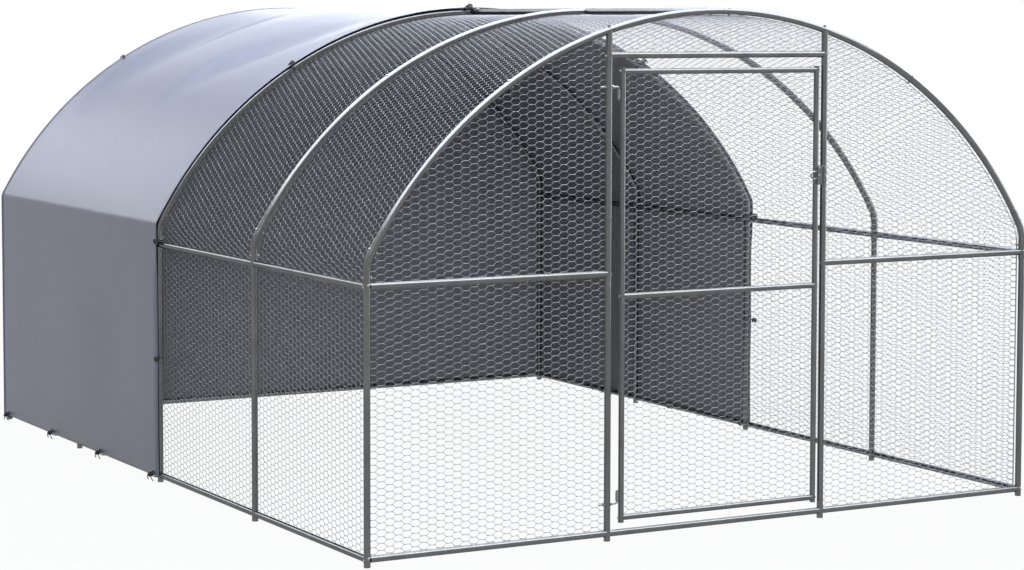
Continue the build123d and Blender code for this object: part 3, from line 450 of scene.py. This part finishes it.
# Keeps the spans inside a region, and shortens those that cross its edge
def cut_net(centres, rings, spans, inside):
    kept = inside(centres[:, 0], centres[:, 1])
    first, second = kept[spans[:, 0]], kept[spans[:, 1]]
    whole = spans[first & second]
    crossing = spans[first != second]
    swap = ~kept[crossing[:, 0]]
    crossing[swap] = crossing[swap][:, ::-1]
    near, far = centres[crossing[:, 0]], centres[crossing[:, 1]]
    low, high = np.zeros(len(crossing)), np.ones(len(crossing))
    for _ in range(cut_halvings):
        share = (low + high) / 2
        place = near + (far - near) * share[:, None]
        within = inside(place[:, 0], place[:, 1])
        low, high = np.where(within, share, low), np.where(within, high, share)
    near_rings, far_rings = rings[crossing[:, 0]], rings[crossing[:, 1]]
    ends = near_rings + (far_rings - near_rings) * low[:, None, None]
    added = len(rings) + np.arange(len(crossing))
    rings = np.concatenate([rings, ends])
    spans = np.concatenate([whole, np.stack([crossing[:, 0], added], axis=1)])
    used, spans = np.unique(spans, return_inverse=True)
    return rings[used], spans.reshape(-1, 2)


def net_piece(name, low, high, inside, edge, place, node, body):
    rings, spans = woven_net(low, high, inside)
    points = [place(rings.reshape(-1, 3))]
    quads = []
    for side in range(wire_sides):
        beside = (side + 1) % wire_sides
        start, end = spans[:, 0] * wire_sides, spans[:, 1] * wire_sides
        quads.append(np.stack([start + side, start + beside, end + beside, end + side], axis=1))
    count = len(points[0])
    for line in edge:
        line = np.asarray(line, float)
        border = place(np.column_stack([line, np.zeros(len(line))]))
        points.append(tube_points(border, border_radius, border_sides))
        quads.append(grid_quads(len(line), border_sides, closed=True) + count)
        count += len(points[-1])
    made = quad_mesh(name, np.concatenate(points), np.concatenate(quads), [wire_zinc])
    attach(made, body)
    if node:
        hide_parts(node)


def flat_place(origin, across, upward, outward):
    axes = np.array([across, upward, outward], float)
    return lambda flat: np.asarray(origin, float) + flat @ axes


def stretch(start, end):
    start, end = np.asarray(start, float), np.asarray(end, float)
    count = max(2, ceil(np.linalg.norm(end - start) / border_step))
    return start + np.linspace(0, 1, count)[:, None] * (end - start)


def rectangle_edges(low, high):
    corners = [low, (high[0], low[1]), high, (low[0], high[1]), low]
    return [stretch(a, b) for a, b in zip(corners, corners[1:])]


def in_rectangle(low, high):
    return lambda u, v: (u >= low[0]) & (u <= high[0]) & (v >= low[1]) & (v <= high[1])


def rectangle_net(name, low, high, place, node, body):
    net_piece(name, low, high, in_rectangle(low, high), rectangle_edges(low, high), place, node, body)


# Nets of the walls and the door
for side in ("left", "right"):
    low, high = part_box("wall_net_" + side)
    plane = flat_place(((low.x + high.x) / 2, 0, 0), (0, 1, 0), (0, 0, 1), (1, 0, 0))
    corners = (low.y, low.z), (high.y, high.z)
    rectangle_net("wire_wall_" + side, *corners, plane, "wall_net_" + side, "frame")

low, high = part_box("door_net")
plane = flat_place((0, (low.y + high.y) / 2, 0), (1, 0, 0), (0, 0, 1), (0, -1, 0))
rectangle_net("wire_door", (low.x, low.z), (high.x, high.z), plane, "door_net", "door")


# Nets of the gables, cut to the arch; the widest is made of two pieces that meet in the middle
def gable_net(name, node, parts=("",)):
    low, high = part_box(node)
    plane = flat_place((0, (low.y + high.y) / 2, 0), (1, 0, 0), (0, 0, 1), (0, -1, 0))

    def inside_from(start, end):
        return lambda u, v: (v <= arch_top(u)) & (u >= start) & (u <= end) & (v >= low.z)

    top = np.linspace(high.x, low.x, gable_steps)
    edges = [
        stretch((low.x, float(arch_top(low.x))), (low.x, low.z)),
        stretch((low.x, low.z), (high.x, low.z)),
        stretch((high.x, low.z), (high.x, float(arch_top(high.x)))),
        np.column_stack([top, arch_top(top)]),
    ]
    cuts = np.linspace(low.x, high.x, len(parts) + 1)
    for part, start, end in zip(parts, cuts, cuts[1:]):
        inside = inside_from(start, end)
        net_piece(name + part, (low.x, low.z), (high.x, high.z), inside, edges, plane, node, "frame")
        edges, node = [], None


gable_net("wire_front_left", "front_net_left")
gable_net("wire_front_right", "front_net_right")
gable_net("wire_front_top", "front_net_top")
gable_net("wire_back", "back_net", ("_left", "_right"))

# Net of the roof, bent under the arches, one piece for each bay
roof_low, roof_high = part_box("roof_net")
roof_inset = tube_radius + roof_net_gap
roof_bend = bend_radius - roof_inset
roof_places, roof_outward, roof_length = tunnel_line(-roof_inset, eave_height, roof_bend)


def roof_place(flat):
    y, length, outward = flat[:, 0], flat[:, 1], flat[:, 2]
    spot = at_length(length, roof_length, roof_places)
    lift = at_length(length, roof_length, roof_outward)
    return np.stack([spot[0] + lift[0] * outward, y, spot[1] + lift[1] * outward], axis=1)


for bay in range(bay_count):
    start = max(front_y + bay * bay_length, roof_low.y)
    end = min(front_y + (bay + 1) * bay_length, roof_high.y)
    corners = (start, 0.0), (end, roof_length[-1])
    node = "roof_net" if bay == 0 else None
    rectangle_net("wire_roof_" + str(bay + 1), *corners, roof_place, node, "frame")

# Fabric cover: one sheet over both sides and the roof, slack between the arches
cover_places, cover_outward, cover_length = tunnel_line(cover_offset, cover_bottom, cover_bend)
left_half = len(cover_length) // 2
eave_length = float(np.interp(corner_height, cover_places[:left_half, 1], cover_length[:left_half]))
cover_span = float(cover_length[-1])
ridge_length = cover_span / 2
roof_half = ridge_length - eave_length


def cover_sag(length, y):
    bay_share = np.sin(pi * np.clip((y - cover_y) / bay_length, 0, covered_bays) % pi) ** 2
    from_ridge = np.abs(length - ridge_length)
    climb = np.clip(1 - from_ridge / roof_half, 0, 1)
    roof = slack * np.sin(pi * climb**slack_skew) * bay_share
    down = np.clip((from_ridge - roof_half) / eave_length, 0, 1)
    wall = side_slack * np.sin(pi * down) * bay_share
    sag = np.where(climb > 0, roof, wall)
    off_arch = np.clip(arch_hold * bay_share, 0, 1)
    for start, start_y, end, end_y, width, height in roof_folds:
        for along in (length, cover_span - length):
            share = (along - start) / (end - start)
            beside = (y - (start_y + (end_y - start_y) * share)) / width
            fade = np.sin(pi * np.clip(share, 0, 1)) ** 2
            sag = sag - off_arch * height * fade * np.exp(-(beside**2))
    press = asin(joint_offset / arch_radius) * (arch_radius + cover_offset)
    for arch_y in (cover_y + bay_length, back_y):
        apart = ((from_ridge - press) ** 2 + (y - arch_y) ** 2) / bolt_spread**2
        sag = sag - bolt_press * np.exp(-apart)
    return sag


# From 0 to 1 over a length that starts at the eave, or below it
def past_eave(length, reach, below=0.0):
    above = roof_half - np.abs(length - ridge_length)
    share = np.clip((above + below) / reach, 0, 1)
    return share**2 * (3 - 2 * share)


def cover_point(length, y, lift):
    spot = at_length(length, cover_length, cover_places)
    out = at_length(length, cover_length, cover_outward)
    curl = edge_curl * np.exp(-(((y - front_line(length)) / edge_curl_width) ** 2))
    on_wall = 1 - past_eave(length, edge_curl_end, 2 * edge_curl_end)
    height = lift - cover_sag(length, y) - curl * on_wall
    return np.stack([spot[0] + out[0] * height, y, spot[1] + out[1] * height], axis=-1)


# The front edge is drawn forward at the ties, gives way between them and lies further out over the arch
tie_high = eave_height + tube_radius + tie_high_gap
arch_tie = asin(tie_arch_offset / arch_radius)
tie_lengths = [0.0, tie_low_height - cover_bottom, tie_high - cover_bottom]
tie_lengths += [ridge_length - arch_tie * (arch_radius + cover_offset), ridge_length - tie_crown_offset]
tie_lengths += [cover_span - length for length in tie_lengths[3::-1]]


def front_line(length):
    bow = np.zeros_like(length)
    for start, end in zip(tie_lengths, tie_lengths[1:]):
        share = np.clip((length - start) / (end - start), 0, 1)
        bow = np.maximum(bow, np.sin(pi * share) * front_scallop)
    return cover_front - front_reach - arch_reach * past_eave(length, arch_reach_rise) + bow


cover_shares = np.linspace(0, 1, cover_columns)
length_grid, share_grid = np.meshgrid(cover_length, cover_shares, indexing="ij")
edge = front_line(length_grid)
y_grid = edge + (back_sheet_y - edge) * share_grid
points = cover_point(length_grid, y_grid, 0.0)
ground_step = (back_y - cover_y - 2 * ground_tie_edge) / (ground_tie_count - 1)
ground_share = np.sin(pi * ((points[..., 1] - cover_y - ground_tie_edge) / ground_step)) ** 2
near_ground = np.clip(1 - (points[..., 2] - cover_bottom) / bottom_scallop_rise, 0, 1) ** 2
points[..., 2] += bottom_scallop * ground_share * near_ground
cover_quads = grid_quads(len(cover_length), cover_columns)[:, ::-1]
cover = quad_mesh("fabric_cover", points.reshape(-1, 3), cover_quads, cover_faces)
set_cloth_map(cover, np.stack([length_grid, y_grid], axis=-1).reshape(-1, 2))
thicken(cover)
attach(cover, "frame")
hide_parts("cover")

# Sheet over the back gable: columns from the bottom edge up to the tunnel line
seam_y = np.full(len(cover_length), back_sheet_y)
back_line = cover_point(cover_length, seam_y, 0.0)[:, [0, 2]]
lean_limit = 1e-6
above = np.flatnonzero(cover_outward[:, 1] > lean_limit)
crown = back_line[above[0] - 1 : above[-1] + 2]
rise = np.linspace(0, 1, back_rows)
back_x = np.repeat(crown[:, :1], len(rise), axis=1)
back_z = cover_bottom + (crown[:, 1:] - cover_bottom) * rise[None]
across = (back_x - crown[0, 0]) / (crown[-1, 0] - crown[0, 0])
bulge = back_bulge * np.sin(pi * across) * np.sin(pi * rise)[None]
back_points = np.stack([back_x, back_sheet_y - bulge, back_z], axis=-1)
back_quads = grid_quads(len(crown), back_rows)
cover_back = quad_mesh("fabric_cover_back", back_points.reshape(-1, 3), back_quads, cover_faces)
set_cloth_map(cover_back, np.stack([back_x, back_z], axis=-1).reshape(-1, 2))
thicken(cover_back)
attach(cover_back, "frame")
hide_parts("cover_back")

# Corded seam where the two sheets meet
seam_path = cover_point(cover_length, seam_y, -cover_thickness / 2)
seam_quads = grid_quads(len(seam_path), piping_sides, closed=True)
seam_points = tube_points(seam_path, piping_radius, piping_sides)
seam = quad_mesh("fabric_cover_seam", seam_points, seam_quads, [cover_outside])
seam_round = np.linspace(0, 2 * pi * piping_radius, piping_sides)
seam_flat = np.stack(np.meshgrid(cover_length, seam_round, indexing="ij"), axis=-1)
set_cloth_map(seam, seam_flat.reshape(-1, 2))
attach(seam, "frame")

# Hem: the sheet's own cloth, folded over the front edge and sewn down
under = -cover_thickness - hem_lift
fold = [(hem_width, hem_lift), (hem_width / 2, hem_lift), (hem_turn, hem_lift), (-hem_lift, 0.0)]
fold += [(-hem_lift, -cover_thickness), (hem_turn, under), (hem_width / 2, under), (hem_width, under)]
hem_rows = []
hem_flat = []
for back, lift in fold:
    y = front_line(cover_length) + back
    hem_rows.append(cover_point(cover_length, y, lift))
    hem_flat.append(np.stack([cover_length, np.full(len(cover_length), back)], axis=-1))
hem_quads = grid_quads(len(fold), len(cover_length))
hem = quad_mesh("fabric_cover_hem", np.concatenate(hem_rows), hem_quads, [cover_outside])
set_cloth_map(hem, np.concatenate(hem_flat))
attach(hem, "frame")
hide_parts("cover_hem")


# A place on an arch's axis, with the way up along the arch and the way outward
def arch_spot(y, side, angle):
    outward = Vector((side * sin(angle), 0, cos(angle)))
    place = Vector((0, y, arch_centre)) + outward * arch_radius
    return place, Vector((-side * cos(angle), 0, sin(angle))), outward


post_ring = tube_radius + cord_radius + cord_ease
sleeve_ring = sleeve_radius + cord_radius + cord_ease
hem_face = cover_offset + hem_lift
front_edge = cover_y - cover_front + front_reach
low_edge = ground_height - cover_bottom
upward, forward, backward = Vector((0, 0, 1)), Vector((0, -1, 0)), Vector((0, 1, 0))
crown_tie = asin(tie_crown_offset / arch_radius)
arch_edge = front_edge + arch_reach

# Ties: a place on a tube's axis, the way up, outward, the eyelet's side, loop radius,
# and how far the cover's face and its edge lie from the axis
ties = []
for side in (-1, 1):
    out = Vector((side, 0, 0))
    low_place = Vector((side * half_width, cover_y, tie_low_height))
    high_place = Vector((side * half_width, cover_y, tie_high))
    ties.append((low_place, upward, out, backward, post_ring, hem_face, front_edge))
    ties.append((high_place, upward, out, backward, sleeve_ring, hem_face, front_edge))
    ties.append((*arch_spot(cover_y, side, arch_tie), backward, post_ring, hem_face, arch_edge))
    ties.append((*arch_spot(back_y, side, arch_tie), forward, post_ring, cover_offset, None))
    for step in range(ground_tie_count):
        along_run = cover_y + ground_tie_edge + ground_step * step
        place = Vector((side * half_width, along_run, ground_height))
        ties.append((place, upward, out, upward, post_ring, cover_offset, low_edge))
ties.append((*arch_spot(cover_y, -1, crown_tie), backward, post_ring, hem_face, arch_edge))


# A smooth line through points, with a few steps between each two of them
def through(points, steps):
    line = []
    for number in range(len(points) - 1):
        before, start = points[max(number - 1, 0)], points[number]
        end, after = points[number + 1], points[min(number + 2, len(points) - 1)]
        for step in range(steps):
            t = step / steps
            line.append(
                start
                + (end - before) * (t / 2)
                + (before * 2 - start * 5 + end * 4 - after) * (t * t / 2)
                + (start * 3 - before - end * 3 + after) * (t**3 / 2)
            )
    return line + [points[-1]]


def add_strand(curve, points, closed=False):
    spline = curve.splines.new("POLY")
    spline.points.add(len(points) - 1)
    for spot, point in zip(spline.points, points):
        spot.co = (*point, 1)
    spline.use_cyclic_u = closed
    spline.use_smooth = True


# One tie: a cord round the tube and the cover's edge, through an eyelet, with a ball knot
# and two tails; without an edge it goes round the tube alone
def make_tie(name, place, upward, outward, aside, ring, face, edge):
    curve = bpy.data.curves.new(name, "CURVE")
    curve.dimensions = "3D"
    curve.bevel_depth = cord_radius
    curve.bevel_resolution = 2
    along = aside.cross(outward)
    eyelet = place + aside * ring
    lift = face + cord_radius + cord_ease
    ball = knot_radius if edge else back_knot_radius
    grounded = aside == upward
    if edge and not grounded:
        knot = place - aside * (edge + knot_ahead) + outward * (face + knot_out)
    else:
        knot = place + outward * (face + ball + 2 * cord_radius)
    path = [knot, eyelet + outward * face]
    last = loop_end_at_edge if edge else loop_end_closed
    for degree in range(loop_start, last + 1, loop_step):
        angle = radians(degree)
        path.append(place + (outward * cos(angle) + aside * sin(angle)) * ring)
    if edge:
        clear = edge + 2 * cord_radius
        path.append(place + outward * (loop_low * face) - aside * max(clear, loop_wide * ring))
        path.append(place + outward * (lift - cord_radius) - aside * clear)
        path.append(place + outward * lift - aside * (edge / 2))
        path.append(place + outward * lift + aside * (ring / 2))
        path.append(eyelet + outward * face)
    path += [eyelet + outward * face, knot]
    add_strand(curve, through(path, cord_steps))
    winding = []
    for step in range(knot_steps * knot_leads):
        angle = 2 * pi * step / knot_steps
        swing = angle * knot_bights / knot_leads
        reach = ball + knot_weave * sin(2 * swing)
        tilt = sin(swing) * knot_tilt
        flat = outward * cos(angle) + aside * sin(angle)
        winding.append(knot + (flat * cos(tilt) + along * sin(tilt)) * reach)
    add_strand(curve, winding, closed=True)
    core = [knot + along * (ball * end / 2) for end in (-1, 0, 1)]
    add_strand(curve, core)
    sideways = upward.cross(outward)
    tail, width = (ground_tail, ground_spread) if grounded else (post_tail, tail_spread)
    for hand in (-1, 1):
        spread = sideways * (hand * width)
        middle = knot - upward * (tail * tail_bend_drop) + spread * tail_bend_spread
        middle += outward * tail_lift
        tip = knot - upward * tail + spread - outward * tail_lift
        add_strand(curve, through([knot, middle, tip], tail_steps))
    curve.materials.append(cord_black)
    made = bpy.data.objects.new(name, curve)
    bpy.context.scene.collection.objects.link(made)
    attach(made, "frame")
    return made


cords = [make_tie("cover_tie_%02d" % (number + 1), *tie) for number, tie in enumerate(ties)]
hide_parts("cover_ties")

# Floor and light
scene = bpy.context.scene
scene.view_settings.view_transform = "Standard"


def see_white(tree, shaded, share):
    path = add_node(tree, "ShaderNodeLightPath")
    rays = path.outputs["Is Camera Ray"]
    for kind in ("Is Glossy Ray", "Is Transmission Ray"):
        joined = add_node(tree, "ShaderNodeMath", {0: rays, 1: path.outputs[kind]}, operation="MAXIMUM")
        rays = joined.outputs[0]
    part = add_node(tree, "ShaderNodeMath", {0: rays, 1: share}, operation="MULTIPLY")
    white = add_node(tree, "ShaderNodeEmission", {"Color": (1, 1, 1, 1), "Strength": 1.0})
    mixed = {0: part.outputs[0], 1: shaded, 2: white.outputs[0]}
    return add_node(tree, "ShaderNodeMixShader", mixed).outputs[0]


# The floor is seen as white far off and shows a faint shadow near the run
floor_material, floor_tree, floor_shader = new_material("floor")
floor_shader.inputs["Base Color"].default_value = (0.42, 0.42, 0.42, 1)
floor_shader.inputs["Roughness"].default_value = 0.9
spot = add_node(floor_tree, "ShaderNodeTexCoord").outputs["Object"]
away = add_node(floor_tree, "ShaderNodeVectorMath", {0: spot}, operation="LENGTH").outputs["Value"]
reach = {"Value": away, "From Min": 3.0, "From Max": 9.0, "To Min": 0.95, "To Max": 1.0}
whiteness = add_node(floor_tree, "ShaderNodeMapRange", reach).outputs["Result"]
seen = see_white(floor_tree, floor_shader.outputs["BSDF"], whiteness)
floor_tree.links.new(seen, floor_tree.nodes["Material Output"].inputs["Surface"])
bpy.ops.mesh.primitive_plane_add(size=60, location=(0, 0, cad_low.z))
floor = bpy.context.active_object
floor.name = "floor"
floor.data.materials.append(floor_material)

world = bpy.data.worlds.new("studio")
scene.world = world
world.use_nodes = True
world_tree = world.node_tree
sky = world_tree.nodes["Background"]
sky.inputs["Color"].default_value = (0.93, 0.95, 1.0, 1)
sky.inputs["Strength"].default_value = 0.25
sky_seen = see_white(world_tree, sky.outputs[0], 1.0)
world_tree.links.new(sky_seen, world_tree.nodes["World Output"].inputs["Surface"])


# A flat lamp of a length and a width, turned to an aim; a shine shows only in reflections, a fill never
def add_lamp(name, place, aim, length, width, power, colour, kind="plain"):
    data = bpy.data.lights.new(name, "AREA")
    data.shape = "RECTANGLE"
    data.size = length
    data.size_y = width
    data.energy = power
    data.color = colour
    lamp = bpy.data.objects.new(name, data)
    scene.collection.objects.link(lamp)
    lamp.visible_camera = False
    lamp.visible_diffuse = kind != "shine"
    lamp.visible_glossy = kind != "fill"
    lamp.location = place
    lamp.rotation_euler = (Vector(aim) - Vector(place)).to_track_quat("-Z", "Y").to_euler()


sky_blue, cool_white = (0.63, 0.75, 1.0), (0.88, 0.93, 1.0)
add_lamp("overhead", (0.5, 4.5, 8.5), (0, 0.5, 1.0), 8.0, 7.0, 1140, sky_blue)
add_lamp("front_fill", (-4.0, -9.0, 5.0), (0, -1.0, 1.0), 5.0, 4.0, 260, cool_white, "fill")
add_lamp("top_shine", (0.5, -1.5, 5.5), (0.5, -1.5, 1.0), 12.0, 10.0, 2800, cool_white, "shine")
add_lamp("side_shine", (10.0, -4.5, 1.6), (-0.5, -1.2, 1.2), 3.0, 3.0, 220, cool_white, "shine")
add_lamp("back_shine_left", (-4.6, 9.5, 5.0), (-0.5, 0.0, 1.5), 5.0, 2.0, 215, cool_white, "shine")
add_lamp("back_shine_middle", (2.6, 9.2, 4.8), (-0.9, 1.0, 1.8), 4.0, 2.0, 31, cool_white, "shine")
add_lamp("back_shine_right", (5.0, 9.5, 2.8), (-0.5, 0.0, 1.8), 4.0, 2.0, 90, cool_white, "shine")

# Camera at the photograph's angle
camera_data = bpy.data.cameras.new("camera")
camera_data.sensor_width = sensor_width
camera_data.lens = focal_pixels / image_width * sensor_width
camera_data.shift_y = camera_shift
camera = bpy.data.objects.new("camera", camera_data)
scene.collection.objects.link(camera)
camera.location = camera_place
camera.rotation_euler = (radians(90 + camera_pitch), radians(camera_roll), -radians(camera_yaw))
scene.camera = camera
